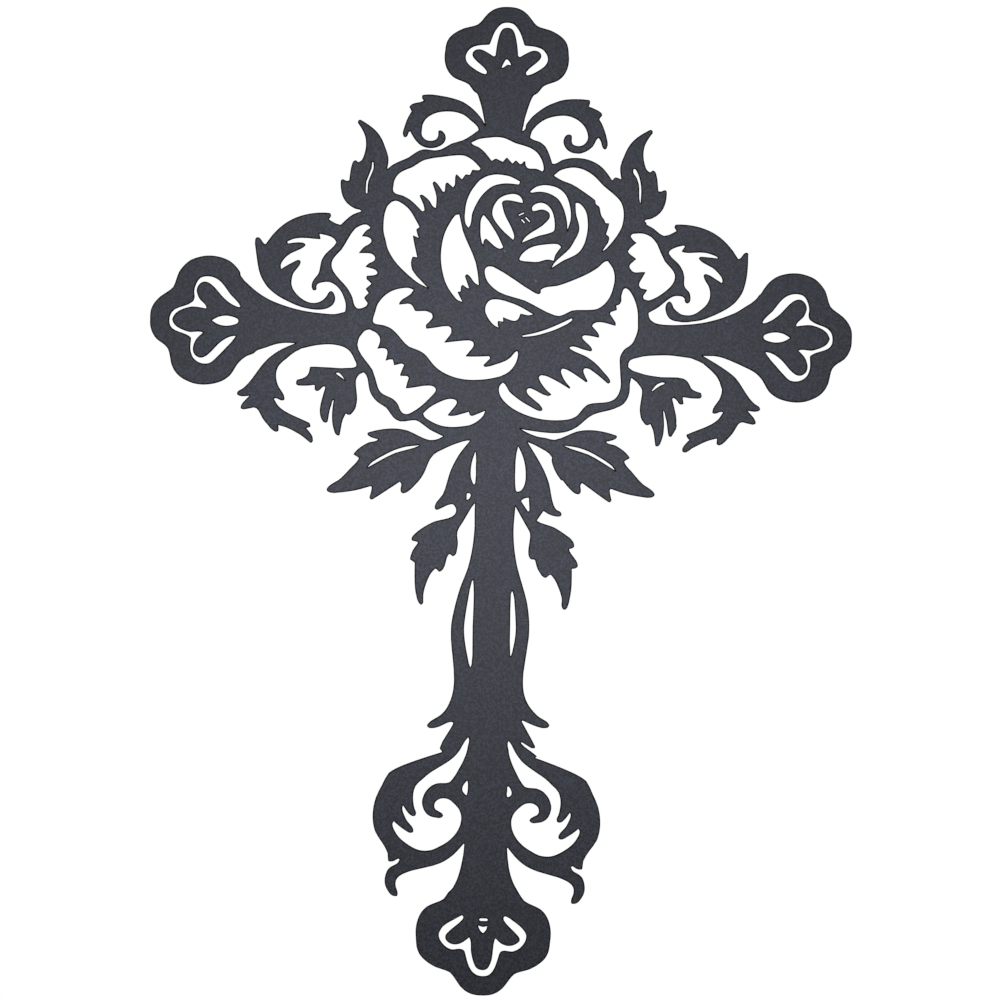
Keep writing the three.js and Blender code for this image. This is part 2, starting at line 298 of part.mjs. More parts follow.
const leafUnderRoseSlit = draw(`-23.1,-35.8 -26,-36.1 -30,-37.1 -35,-39.7 -38,-41.7 -39.2,-43.4 /
  -38,-42.8 -35,-40.9 -30,-38.3 -25,-36.8 -23.3,-36.1`);
const rightStalkUnderRose = draw(`5,-29 / 6.8,-30 8,-30.7 11,-32 14,-32.9 17,-33.2 /
  17,-36.4 / 8.8,-33.6 / 4,-34`);

// The rose's own outline, from the leaf on its left round by the top
const rose = draw(`-35.6,47.3 / -34,48.7 -31,50.2 -28.7,51.4 -26.5,53 -24.5,53.8 -22.5,53.6
  -20,53.7 -18.3,54.4 -16,55.8 -13,56.7 -10,58.7 -7.9,60.2 / -4,60.2 / 4,59 / 7.4,58.7 / 8,58
  9.5,57.5 11,56.8 12.5,55.5 13.5,53.5 14.6,50.5 / 15.5,50.5 17.5,51.6 20,52.3 23,52.4 25.5,52
  28,51 30.3,49.3 32.3,46.7 33,45.8 / 33.9,47 35.5,46.5 / 41,30 / 44,8 / 41,-7 / 39,-10 /
  40.4,-13.7 / 40,-15 39.9,-17.6 39.3,-20 38,-21.8 36,-22.9 33,-24 30,-24.7 28,-25.8 26.3,-27.2
  24.3,-29 22,-30.2 19.5,-30.9 16,-31 12,-30.7 9,-30.2 6.8,-30 / 4,-34 / -10,-34 / -17.6,-33.9 /
  -16,-33 / -17.2,-32.3 -19.3,-31.5 -21.5,-30.3 -23.5,-29 -24.8,-28.2 -28.5,-28.7 -30,-28.6
  -31.5,-27.5 -32.7,-25.8 -34.3,-24.2 -36.3,-23.1 -37.7,-21.7 -38.7,-20 -39.3,-17.5 -40,-15 /
  -40.8,-14.1 / -43,-12.6 / -43,0 / -36,20 / -34,44`);

// Openings that show the rose's petals, from its heart outwards
const heartOpenings = [
  `6.2,38.3 / 5.7,40 4.2,41.1 1.8,41.1 -1,39.9 -2.7,37.6 -3.2,35.8 -3,34 -1.5,31.8 0.5,29.5
   2.8,27.4 3.5,27 / 3.8,28 3.3,30 2,32.5 0.7,35 0,37 -0.3,38.3 / 0.3,38.9 2.5,39 4.5,38.6`,
  `9,36.1 8.8,37.2 9.8,38.3 11.5,38.8 13.3,38.3 14.8,36.8 15.7,34.5 16,32 15.8,30.2 15.1,29.7 /
   12,28.8 8.5,27.3 5.9,26.2 / 6.6,27.6 8.5,29.5 11.3,31.2 13.3,33 14.3,34.6 14.1,35.6 13,36.3
   11.5,36.5 9.2,36`,
  `5.3,21.3 / 5.8,22.5 7.5,24.3 9.5,25.4 12,26 15,26.4 17.6,26.1 18.2,25.4 / 17.3,24.1 16.2,22.5
   15.9,21.1 / 14.3,21.4 12.5,20.9 11.5,20.6 8,20.8 5.8,20.9`,
  `-5.8,34.7 / -6.4,33.9 -6.7,32 -6.7,30 -6.5,27.5 -6,25.8 -5.5,25.2 / -5.3,27 -4.8,27.4 /
   -3.5,26.2 -2.4,25.1 -1.3,24.5 -0.3,24.3 0.6,24.8 / 0.4,25.4 -0.9,27.9 -1.9,29.4 -3,31
   -4.3,32.8 -5.1,34`,
  '4.7,34.9 / 4.9,34.4 / 6.7,35.3 / 6.5,35.8',
  '5.5,33.3 / 6.6,32.1 / 7,32.5 / 5.9,33.7',
  '6.8,34 / 8.2,32.5 / 8.6,32.9 / 7.2,34.4',
];
const innerPetalOpenings = [
  `8,42 / 10,43.6 13.2,44.2 17,43.2 19.3,41 20.5,37.5 20.8,34 19.7,30.1 / 19.5,33 18.4,37
   16.7,39.8 14,41.4 11.3,41.9 8.5,41.5`,
  `5.2,45 / 3,46.2 0,46.9 -3.5,46.9 -7,45.3 -9.3,42.5 -10.8,39.6 -11.4,36.6
   -11.5,33.2 -11.1,31.5 -10.2,30.3 / -9.7,31 -9.2,34.5 -8.2,37.2 -6.4,40.3 -4.8,42 -3,43.3
   0,44.1 2,44.1 4.8,43.9`,
  `-13.1,34.6 / -12.9,34 -12.2,30.6 -11.4,28.4 -9.8,24.6 -8,21 -7.2,18 -6.8,15.5 -6.5,12.9 /
   -7.7,13.5 -9.3,15.3 -10.4,16.4 -10.9,15.8 / -10.2,14.3 -9.4,12 / -10.2,12.1 -11.6,13.2
   -12,12.7 / -12,11 / -13.1,11 / -11.4,7.9 -12.9,8.3 / -14.5,10 -16.2,12.3 -17.3,14.9 -18.1,18
   -18.5,21.5 -18.3,25 -17.6,28.4 -16.4,31.1 -15.2,33.2 -14.2,34.4`,
  `-5,18 / -4.7,15.5 -3.5,13.5 -1.5,11.9 0,10.9 3,10.1 7,8.9 10,7.7 13,6.2 15.5,5 17,4.4 18.3,4.4
   19.3,4.8 20.5,5.6 22,6.1 25,6.3 28,6.5 30,7 31.5,8.2 33,10 34,12.5 34.6,15 34.5,18 33.5,20.3
   32.3,21.7 / 31.5,21.5 30,20.1 27,18 24,16.5 20,14.7 16,13.4 13,12.9 / 12.1,12.3 12.2,11.2 /
   11.7,10.9 9.5,11.9 5,14.7 0,17.5 -2.5,19 -4,19 -4.9,18.3`,
  `22,39 / 23,39 24.5,37.8 25.6,35.8 26.1,32.5 25.8,29 25,26.2 23.9,24.3 23,23.4 19,21.3 15,18.6 /
   15.6,19.9 17,21.4 20,24.3 22,27.5 23.2,30.2 / 23.3,31.3 / 22.6,33.8 22.2,36 22,38.5`,
  `0,9 / 3,8.2 6.5,6.9 10.4,4.7 / 8.5,4.3 6.2,4.9 / 5.9,3.5 5,2.6 4,2.5 2.8,3 0.9,3.7 / 1.2,2.1 /
   -0.6,2.5 / -0.4,1 0,0.2 / -1.8,1.1 -3.5,3 -4.6,5.4 -4.3,7.4 -3.3,8.7 -1.8,9.1`,
  `6.8,-1.7 10,-1 14,0.3 18,2 21.9,4 / 22.2,3.4 20.5,2 17,0.2 13,-1.2 9.5,-2.1 7,-2.3`,
];
const outerPetalOpenings = [
  `-10.2,56.4 / -8.5,57.4 -5.5,58 -2,58.4 0,58.1 2.5,57 5.5,56 8,55.3 10,54 11.4,52 12.1,50
   12.1,48.4 11.8,48 / 10,48.8 8.5,49 7.2,49 / 6.7,49.5 6.6,51 6,51.1 5.3,50.2 4.8,50.1 /
   3.6,51.4 / 2.6,50.1 / 0.8,52.2 / -0.3,50.6 / -1.5,51.2 -2.5,51.7 / -3.8,50.8 / -4.5,51.5
   -6,53.5 -8,55 -9.9,55.9`,
  `15.2,47 / 17,48.7 20,49.6 22.3,49.7 25,48.9 27.8,47.1 30.3,44.6 32.8,42.5 35.5,40.2 36.7,37.5
   36.8,34 36,31 34,28 31.5,24.9 30.3,24.3 / 31.3,26.3 32.5,28 32.4,29 31.4,29.5 / 32,31.5
   32.5,33 / 31.2,32.9 / 30.8,34 30,35 / 29.6,36.5 29.3,37.9 / 28.1,38.6 / 28,39.8 27,40.5 /
   20,44.8 17.5,45.6 15.2,46.9`,
  `-32.5,38.2 / -34,37.7 -35.2,36.3 -36,33.5 -36.2,30 -35.8,27 -34.5,23 -32.5,19.8 -30,17.2
   -27,14.6 -24,12.6 -21.7,11.7 / -22.2,12.4 -24,14.2 -25.8,15.9 -26.9,17.3 -27.3,19.5 -27,21.3 /
   -25.4,20.9 / -26,23.5 -26.8,26.2 -27.1,27.8 / -25.1,26.8 / -26.1,29.6 / -24.9,30.2 /
   -25.2,30.9 -27,33.8 -28.8,36.2 -31,37.7`,
  `-33.5,41 -33.4,43.5 -32.8,45.3 -31.3,46.9 -28.5,48.2 -26.5,49.3 -24.5,50.7 -22.5,51.2
   -19,51.6 -15.5,52.3 -13.5,52.6 -11.5,52.3 -9.3,51 -7.5,49.3 -6.9,48.5 -7.2,48 / -8.5,47.9
   -9.5,48.2 / -9.8,47.2 -10.2,46.3 / -11.5,46.7 / -12.1,45.8 -12.6,44.9 / -13.5,45.7
   -14.3,46.7 / -14.6,46.2 -14.6,43.5 -15.2,42.4 / -17,44.1 / -17.5,43.8 -17.5,42 -17.7,41.1
   -18.3,41 / -19.3,42.3 -20.3,43.8 -21,44.4 / -21.5,43.9 -20.8,42 -20.1,39.5 -20,37.5
   -20.2,36.1 / -20.8,36.2 -22.5,38.4 -24.7,40.1 -25.4,39.9 / -24.8,38.3 -23.7,36.2 -23.6,35.2 /
   -24.3,34.9 -26,36.4 -28.5,38.6 -31,39.8 -33,40.4`,
  `-26.2,11.3 / -27.5,11.8 -30,11.7 -33,10.8 -35.5,9 -37.3,6.5 -38.1,4 -38.6,1.3 -38.2,0.7 /
   -36.5,0.4 -35,0 -33,-0.8 -31,-2.5 -29,-4.8 -27,-6.4 -24.5,-7.2 -22.7,-8.2 -21,-10 -19.5,-11.8
   -17.5,-13.3 -14,-14.9 -10,-15.7 -5,-15.6 0,-14.6 3,-13.2 5,-10.8 5.8,-8.5 5.9,-7 5.6,-6.4 /
   5.1,-6.6 4,-8 2,-9.5 0,-10.3 -2,-10.9 -4,-11.6 / -4.6,-11.2 -3,-9.6 -2.4,-8.8 -2.8,-8.2 /
   -7,-8.4 -10.2,-8.6 / -8.8,-6.9 -7.6,-5.3 -7.7,-4.2 -8.5,-3.7 / -11,-3.7 -14,-4.2 -16.8,-4.6 /
   -15.5,-2.8 -14.5,-1.5 -14.6,0 -15.5,0.6 / -19,0 -22.3,-0.5 / -22.4,0.5 -21,1.9 -20.3,3.2
   -20.6,4.2 -22,4.9 / -25.8,4.8 / -26.3,5.5 -26.6,6.5 -27.3,7 / -28.5,7 -30.7,6.6 / -30.6,7.2
   -28.8,8.4 -27.2,9.8`,
  `38,13.6 / 39,13 40.5,10.8 41.7,7.5 42.1,4 42,0.5 41,-2.5 39.5,-4.3 38,-5.4 37.2,-6.6 36.9,-8.5
   37.1,-11.5 37.4,-14.5 37.2,-17.5 36,-20 34.5,-21 32.5,-21.6 29.5,-21.8 27.5,-22.3 26.2,-23.4
   25,-25 24,-26 22,-26.9 19,-27.3 15.5,-27.3 12.5,-27 9.5,-26.2 6.3,-25 4,-23.7 2,-22 0.7,-20.3
   0.2,-18.5 0.5,-17 1.5,-16.1 2.3,-17 3.3,-18.5 5.3,-20.3 8,-22 11,-23.7 13,-24.5 / 13.7,-24.3
   13.5,-23.5 / 11.5,-21.9 9.5,-20 8.6,-18.6 9,-17.8 9.7,-17.6 12,-18.4 15.3,-19.9 / 16.4,-19.5 /
   15,-18.5 13,-16 12.2,-14.4 12.7,-13.6 14.3,-13.7 17,-14.8 20.5,-17 21.8,-17.6 / 22,-17.2
   21,-16.2 19.5,-14 18.9,-12.2 19.3,-11.4 21,-11.8 23,-12.9 25.5,-14.8 26.8,-15.5 / 27.2,-15.3
   26,-13 25.7,-11.8 26,-11.2 27.3,-11.2 29.5,-12.5 31.5,-14 33.4,-15.7 / 34.1,-15.2 33.2,-13.8
   31,-11.3 28.5,-9 25.5,-7.2 21.2,-5.2 22,-4.6 24,-4.9 26.5,-5.5 27.9,-6 / 28.3,-5.6 27.8,-4.8
   26,-3.2 25.1,-1.9 25.3,-1.3 26.5,-1.1 28.5,-1.5 30.3,-1.8 / 30.3,-1.2 29,0.2 28,1.7 29,2.8
   31,3 33.5,2.5 35.2,1.9 / 35.3,2.6 33.6,4.8 33.3,5.8 33.7,6.2 / 35.5,6.7 / 35.1,8.2 /
   36.2,8.6 36.5,9 / 36.6,11 37.2,13.2`,
  `-39.5,-1.1 / -38,-1.6 -36.5,-2.9 -36,-4.3 -36.3,-5.5 -37,-7 / -35.2,-6.7 -34.2,-6.8
   -33.7,-7.6 -34,-9 -34.4,-10.6 / -32.8,-10 -32,-10 / -31.7,-11.9 / -30,-11.3 -29,-11.2
   -28.5,-11.6 / -29,-13 -29.9,-15 / -28.3,-14.9 -27.5,-14.9 -27,-15.5 / -27.3,-16.8 -28,-18.8 /
   -25,-18.3 -22,-17.7 -20,-17.7 -18.7,-18.8 -19.6,-20.5 -22,-23 -24.5,-25.2 -26.5,-26.4
   -27.7,-26.7 -29,-26.2 -29.8,-25 -30.4,-23.6 -31.8,-22.2 -33.8,-21.3 -35.3,-20.5 -36.3,-19.3
   -37.4,-16 -38.3,-13.5 -39.9,-11.2 -41.5,-9.2 -42.8,-7.3 -43.1,-5.5 -42.3,-3.2 -41,-1.6`,
  `-22.6,-26.2 / -21.5,-25 -19,-23.3 -16.5,-22 -14.5,-21.5 -12.9,-21.7 -12.2,-22.6 -12.8,-23.8
   -15.1,-26.6 / -14.5,-26.8 -12,-26.1 -9.3,-25.3 -8.5,-25.2 / -8.3,-26.2 -7.9,-26.6 -7,-26.4
   -5.2,-25.4 -3.5,-24.7 / -4,-26.2 -5.5,-27.9 -7.7,-29.3 -11,-30 -15,-30.2 -18,-29.6
   -20.5,-28.4 -22.2,-27.2`,
];
const flankOpenings = [
  `-39.8,29.6 / -41,30.7 -43,30.4 -44.7,29.4 -46,27.6 -47.5,24.8 -49.5,21.8 -51.4,19.5 -51.5,17.3
   -50.5,15.4 -48.7,13.6 -46.7,11.3 -45,8.3 -44.2,5.8 -43.3,5 / -42,5.1 -40.5,5.9 -40.1,6.8 /
   -41.4,8.4 / -39.8,9.9 / -41,11.1 / -39,12.7 / -40.9,14.4 -40.7,15.1 / -38.5,15.2 -37.4,15.9
   -37.7,16.8 -39.5,17.4 -41.3,17.8 / -40,18.9 -38.4,19.8 -38.3,20.9 -39.3,21.9 -41.5,21.9
   -43.4,21.9 / -41.5,23.9 -39.8,25 -39.5,26 -40.5,26.9 -42.6,27 / -41.2,28.7`,
  `38.9,29.2 / 39.3,30 41,30.3 43.5,30.1 45.3,29.3 47,27.5 48.3,25 49.7,22 51.5,20 52.7,18.5
   52.9,16.7 52.1,14.8 50.2,12.8 48,11.2 46,10.1 44.5,9.8 43.3,10.3 43.2,11.2 / 44.6,13.1 /
   42.5,13.5 41.9,14.5 42.3,15.8 43.9,18.5 / 41.5,18.2 40.2,18.3 39.2,19.2 38.8,20.2 39.5,21.2
   41,22.4 / 39.5,23.5 38.2,24.5 39,25.8 41,27.3 / 39.8,28`,
];

// Slots in the shaft and its foils
const shaftOpenings = [
  '-6.4,-37.3 -7,-39 -7.6,-42 -7.6,-45 -7,-47 -6.5,-47.6 -6.1,-47.3 -6.2,-40 -6.1,-37.6',
  '6.6,-35.1 7.5,-36.8 8.6,-39.5 9.2,-43 9.2,-46 8.6,-48 7.5,-49.2 6.4,-49.3 6,-48 5.9,-44 6,-38',
  '-8.7,-50 / -7.5,-50 -7.2,-50.8 -8.2,-52.2 -8.7,-52.2',
  '7.8,-52 8.5,-51.3 10.4,-50.8 / 10.7,-55 / 10.1,-55.3',
  `-5.9,-76.1 -5.7,-77 -5.7,-83 -5.6,-90.5 -5.7,-98 -5.75,-102.7 -6.1,-103 -6.5,-102.2 -7.5,-98
   -8,-95.5 -8.4,-92 -8.4,-90 -8,-86.5 -7.2,-82.5 -6.7,-79.2 -6.4,-76.7`,
  `6,-79.2 5.6,-80 5.65,-85.5 5.6,-90.5 5.7,-97 5.75,-99 6,-99.4 6.7,-97.5 7.1,-95 7.5,-92
   7.4,-88.5 7.1,-85.5 6.7,-82 6.4,-80`,
  `-6.1,-137.1 -6.9,-138 -7.7,-139.7 -7.6,-140.4 -6.7,-141.5 -6.2,-142 -5.9,-141.5 -5.8,-139
   -5.9,-137.5`,
  '6,-138.9 6.4,-138.6 6.9,-139 7.6,-140.6 7.4,-141.5 6.6,-142.2 6.1,-142.1 6,-140.2',
  '-1.1,-178.9 1.1,-178.9 / 1.5,-179.4 1.1,-179.9 / -1.1,-179.9 / -1.5,-179.4',
  '-1.7,-181.1 0,-181.5 1.3,-181.2 / 1.2,-182 0.4,-183.4 0,-183.7 -0.5,-183.4 -1.6,-181.6',
  '-0.8,81.2 0,82.1 0.8,81.5 1.6,80 / 1,80 0.4,80.3 -0.4,80 -1.2,79.2 -1.7,79.3',
];
const notchBesideShaft = draw('5.2,60 / 5.4,61.6 / 5.7,62.6 / 6.4,62.5 / 6.4,61.3 / 5.8,60.4');
const notchUnderThorn = draw(`9.6,-125.1 10.3,-125.2 11.5,-126 13.2,-126.9 13.9,-127 /
  14.3,-126.6 / 16,-127 / 16,-130.2 / 14.8,-129.5 12.8,-128 11.2,-126.8 10,-125.8`);

// How far the right side of the drawing strays from the left side turned over, across and up
const stray = {
  arm: [0.2, -0.5],
  leaves: [0.25, -0.7],
  acanthus: [0.6, -0.5],
  hangingLeaf: [0.6, -0.7],
  leafUnderRose: [-2.7, 1.1],
  footScroll: [0.1, -0.9],
  footScrollEye: [0, -0.8],
};

const steelOutlines = [
  ...[topFoil, footFoil].map((foil) => onFoil(foil, foilEdge)),
  ...[leftFoil, rightFoil].map((foil) => onFoil(foil, armFoilUpperEdge, armFoilLowerEdge)),
  ...[
    shaftTop, shaftFoot, stem, leftVine, rightVine, rose, rightStalkUnderRose,
    rightHangingLeafStalk, rightBandLowerEdge, rightLeafTooth, rightLeafTip,
    rightLeafInnerEdge,
    ...bothSides(leftArm, ...stray.arm),
    topScroll, rightTopScroll,
    ...bothSides(leavesOverArm, ...stray.leaves),
    ...bothSides(acanthusUnderArm, ...stray.acanthus),
    ...bothSides(hangingLeaf, ...stray.hangingLeaf),
    ...bothSides(leafUnderRose, ...stray.leafUnderRose),
    hangingLeaflet, rightHangingLeaflet,
    ...bothSides(footScroll, ...stray.footScroll),
  ].map(penLine),
];
const openOutlines = [
  onFoil(topFoil, topFoilSlot),
  onFoil(footFoil, footFoilSlot, footFoilLeftSlot),
  ...[leftFoil, rightFoil].flatMap((foil) => [
    onFoil(foil, armFoilUpperSlot, armFoilLowerSlot), onFoil(foil, armFoilEye)]),
  ...[
    gapOverArm, rightGapOverArm, leafSlit, rightLeafSlit, notchBesideShaft,
    hangingLeafSlit, rightHangingLeafSlit,
    ...bothSides(leafUnderRoseSlit, ...stray.leafUnderRose),
    ...bothSides(footScrollEye, ...stray.footScrollEye),
    leftGapUnderArm, rightGapUnderArm, notchUnderThorn,
    rightBandUpperGap, rightBandToothGap, rightBandTipGap, rightGapBesideStalk, rightGapOverLeaf,
    ...[
      ...heartOpenings, ...innerPetalOpenings, ...outerPetalOpenings, ...flankOpenings,
      ...shaftOpenings,
    ].map(draw),
  ].map(penLine),
];

// A closed line of the drawing as a solid plate, with its back on the wall
function plate(line, back, front) {
  const shape = new THREE.Shape(line.map(([x, z]) => (
    new THREE.Vector2(x * square, (z - hangingPlace) * square))));
  const extruded = new THREE.ExtrudeGeometry(shape, { depth: front - back, bevelEnabled: false });
  extruded.deleteAttribute('normal');
  extruded.deleteAttribute('uv');
  extruded.translate(0, 0, back);
  const closed = mergeVertices(extruded);
  return new wasm.Manifold(new wasm.Mesh({
    numProp: 3,
    vertProperties: Float32Array.from(closed.attributes.position.array),
    triVerts: Uint32Array.from(closed.index.array),
  }));
}

// The laser cuts a little past the sheet on both sides
const cutPast = 1;
const steel = steelOutlines.map((line) => plate(line, 0, sheetThickness));
const openings = openOutlines.map((line) => plate(line, -cutPast, sheetThickness + cutPast));
const sheet = wasm.Manifold.union(steel).subtract(wasm.Manifold.union(openings));

function toGeometry(solid) {
  const { vertProperties, triVerts } = solid.getMesh();
  const geometry = new THREE.BufferGeometry();
  geometry.setAttribute('position', new THREE.BufferAttribute(vertProperties, 3));
  geometry.setIndex(new THREE.BufferAttribute(triVerts, 1));
  return geometry;
}

const powderCoat = new THREE.MeshStandardMaterial({
  color: 0x36363b, roughness: 0.62, metalness: 0.2,
});

// The drawing lies in XY, and is stood up so that its front faces -Y
const crossSheet = new THREE.Mesh(toGeometry(sheet).rotateX(Math.PI / 2), powderCoat);
crossSheet.name = 'cross_sheet';

const cross = new THREE.Group();
cross.add(crossSheet);
export default cross;
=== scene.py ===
import math

import bmesh
import bpy
import numpy as np
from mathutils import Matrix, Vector
from mathutils.geometry import delaunay_2d_cdt
from mathutils.kdtree import KDTree


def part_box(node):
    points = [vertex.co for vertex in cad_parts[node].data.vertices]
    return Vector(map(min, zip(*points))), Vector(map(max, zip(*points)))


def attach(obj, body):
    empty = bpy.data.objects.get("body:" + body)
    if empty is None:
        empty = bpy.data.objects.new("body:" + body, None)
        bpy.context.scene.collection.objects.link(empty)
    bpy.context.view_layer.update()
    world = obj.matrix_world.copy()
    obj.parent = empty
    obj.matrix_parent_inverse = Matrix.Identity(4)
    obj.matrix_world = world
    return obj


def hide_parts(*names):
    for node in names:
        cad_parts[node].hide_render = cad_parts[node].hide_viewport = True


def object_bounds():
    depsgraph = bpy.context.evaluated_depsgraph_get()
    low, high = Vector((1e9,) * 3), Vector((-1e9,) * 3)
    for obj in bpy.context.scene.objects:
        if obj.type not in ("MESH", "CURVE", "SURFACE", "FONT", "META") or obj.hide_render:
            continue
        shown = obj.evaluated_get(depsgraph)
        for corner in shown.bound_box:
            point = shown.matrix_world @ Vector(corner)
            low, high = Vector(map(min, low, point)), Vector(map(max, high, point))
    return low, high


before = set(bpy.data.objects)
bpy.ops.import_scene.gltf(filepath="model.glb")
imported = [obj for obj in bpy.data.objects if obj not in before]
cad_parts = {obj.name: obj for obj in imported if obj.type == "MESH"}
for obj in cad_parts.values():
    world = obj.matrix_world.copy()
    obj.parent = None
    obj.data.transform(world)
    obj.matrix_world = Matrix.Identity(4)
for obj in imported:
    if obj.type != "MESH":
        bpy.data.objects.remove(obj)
cad_low, cad_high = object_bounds()
bpy.ops.object.select_all(action="DESELECT")


# The cross itself: one flat sheet of mild steel, cut by laser along its outline and openings.
# The cut edges are tumbled round before the sheet is powder coated, and the coat flows round
# them, so no edge or corner is left sharp.
front_round = 0.0004
back_round = 0.0003
round_steps = 3
corner_flow = 0.0002
burr = 0.0001
coat_thickness = 0.00013
rim_margin = 0.0009
longest_leg = 0.002
fine_stride = 0.0004
grain_cells = 0.0018
least_bow = 0.00001
most_bow = 0.00012
bowed_below = math.radians(45)
flowed_above = math.radians(40)
smooth_below = math.radians(40)

grain_size = 0.0006
grain_depth = 0.00012
patch_size = 0.004
cloud_size = 0.009
dust_spacing = 0.011
dark_grain = (0.014, 0.018, 0.028)
blue_grain = (0.071, 0.079, 0.112)
warm_grain = (0.074, 0.078, 0.104)
cloud_grey = (0.042, 0.044, 0.060)
dust_grey = (0.30, 0.30, 0.31)
# Painted shade: the near black of the thin rim round every edge, standing in for the shade there
painted_rim_shade = (0.004, 0.004, 0.005)


def cut_lines(sheet):
    """The closed lines round the front of a sheet, outline and openings, steel on their left."""
    merge_gap = 2e-6
    faces_front = -0.9
    steel = bmesh.new()
    steel.from_mesh(sheet.data)
    bmesh.ops.remove_doubles(steel, verts=steel.verts, dist=merge_gap)
    steel.normal_update()
    next_corner = {}
    for face in steel.faces:
        if face.normal.y < faces_front:
            for corner in face.loops:
                if corner.link_loop_radial_next.face.normal.y > faces_front:
                    next_corner[corner.vert] = corner.link_loop_next.vert
    lines = []
    while next_corner:
        line = [next(iter(next_corner))]
        while line[-1] in next_corner:
            line.append(next_corner.pop(line[-1]))
        lines.append(np.array([(corner.co.x, corner.co.z) for corner in line[:-1]]))
    steel.free()
    return lines


def turned_at(line):
    """The legs into and out of each point of a line, their lengths, and how far it turns there."""
    leg_out = np.roll(line, -1, axis=0) - line
    leg_in = np.roll(leg_out, 1, axis=0)
    long_in = np.linalg.norm(leg_in, axis=1)[:, None]
    long_out = np.linalg.norm(leg_out, axis=1)[:, None]
    crossed = leg_in[:, 0] * leg_out[:, 1] - leg_in[:, 1] * leg_out[:, 0]
    turn = np.abs(np.arctan2(crossed, (leg_in * leg_out).sum(axis=1)))[:, None]
    return leg_in, leg_out, long_in, long_out, turn


def bowed(line):
    """The line with its legs bowed, so that it curves smoothly through all but sharp corners.
    The middle of a smooth curve over a leg stands off it by an eighth of its length times the
    change of way along it."""
    leg_in, leg_out, long_in, long_out, turn = turned_at(line)
    way_in, way_out = leg_in / long_in, leg_out / long_out
    along = way_in * long_out + way_out * long_in
    along /= np.linalg.norm(along, axis=1)[:, None]
    leaving = np.where(turn < bowed_below, along, way_out)
    arriving = np.roll(np.where(turn < bowed_below, along, way_in), -1, axis=0)
    bow = (leaving - arriving) * long_out / 8
    height = np.linalg.norm(bow, axis=1)
    bows = height > least_bow
    bow *= (np.minimum(height, most_bow) / np.maximum(height, least_bow))[:, None]
    kept = np.stack([np.ones(len(line), bool), bows], axis=1)
    return np.stack([line, line + leg_out / 2 + bow], axis=1)[kept]


def flowed(line):
    """The line with its sharp corners cut, as a coat of powder flows round them."""
    most_cut = 1 / 4
    leg_in, leg_out, long_in, long_out, turn = turned_at(line)
    cut = turn > flowed_above
    before = np.where(cut, line - leg_in * np.minimum(most_cut, corner_flow / long_in), line)
    after = line + leg_out * np.minimum(most_cut, corner_flow / long_out)
    kept = np.stack([np.ones(len(line), bool), cut[:, 0]], axis=1)
    return np.stack([before, after], axis=1)[kept]


def walked(line, stride):
    """The points of a line, with more between them so that none are over a stride apart."""
    ends = np.roll(line, -1, axis=0)
    steps = np.ceil(np.linalg.norm(ends - line, axis=1) / stride).astype(int)
    share = np.concatenate([np.arange(count) / count for count in steps])
    return np.repeat(line, steps, axis=0) * (1 - share[:, None]) + np.repeat(
        ends, steps, axis=0) * share[:, None]


def coated(line):
    """The line without its burrs, curved and with its corners flowed round."""
    rounds = 2
    line = line[np.linalg.norm(line - np.roll(line, 1, axis=0), axis=1) > burr]
    for _ in range(rounds):
        line = bowed(line)
    for _ in range(rounds):
        line = flowed(line)
    return walked(line, longest_leg)


def inward_of(line):
    """The direction into the steel at each point of a line."""
    along = np.roll(line, -1, axis=0) - line
    along /= np.linalg.norm(along, axis=1)[:, None]
    across = np.stack([-along[:, 1], along[:, 0]], axis=1)
    middle = across + np.roll(across, 1, axis=0)
    return middle / np.linalg.norm(middle, axis=1)[:, None]


def tree_of(points):
    """A search tree of points in the plane of the sheet."""
    tree = KDTree(len(points))
    for index, (x, z) in enumerate(points):
        tree.insert((x, 0, z), index)
    tree.balance()
    return tree


def room_share(points, inward, edge_tree, widest):
    """How much of the widest margin fits at each point before the steel's other edge is met. The
    room is the radius of the largest round in the steel that touches the edge there."""
    most_room = widest * 2
    part_used = 0.8
    flattest = 40
    same_point = 1e-6
    shares = []
    for (x, z), (inward_x, inward_z) in zip(points, inward):
        here = Vector((x, 0, z))
        into = Vector((inward_x, 0, inward_z))
        room = most_room
        for other, _, away in edge_tree.find_range(here, most_room * 2):
            deep = (other - here).dot(into)
            if deep > away / flattest and away > same_point:
                room = min(room, away * away / (2 * deep))
        shares.append(min(1, part_used * room / widest))
    return np.array(shares)


def grain_places(low, high, edge_points, edge_inward, margin):
    """Places on a square grid over the flat of the steel, and how far each is from an edge."""
    tree = tree_of(edge_points)
    places, depths = [], []
    for x in np.arange(low.x, high.x, grain_cells):
        for z in np.arange(low.z, high.z, grain_cells):
            nearest, index, away = tree.find((x, 0, z))
            into = (x - nearest.x) * edge_inward[index][0] + (z - nearest.z) * edge_inward[index][1]
            if into > 0 and away > margin:
                places.append((x, z))
                depths.append(away)
    return np.array(places), depths


def flat_faces(ring, line_lengths, places):
    """Triangles over the flat between the lines of a ring, by way of the places inside them."""
    ends = np.cumsum(line_lengths)
    lines = [list(range(end - length, end)) for end, length in zip(ends, line_lengths)]
    points = [Vector(place) for place in np.concatenate([ring, places])]
    inside_with_openings = 2
    same_point = 1e-8
    _, _, faces, made_from, _, _ = delaunay_2d_cdt(
        points, [], lines, inside_with_openings, same_point)
    return [[made_from[corner][0] for corner in face] for face in faces]


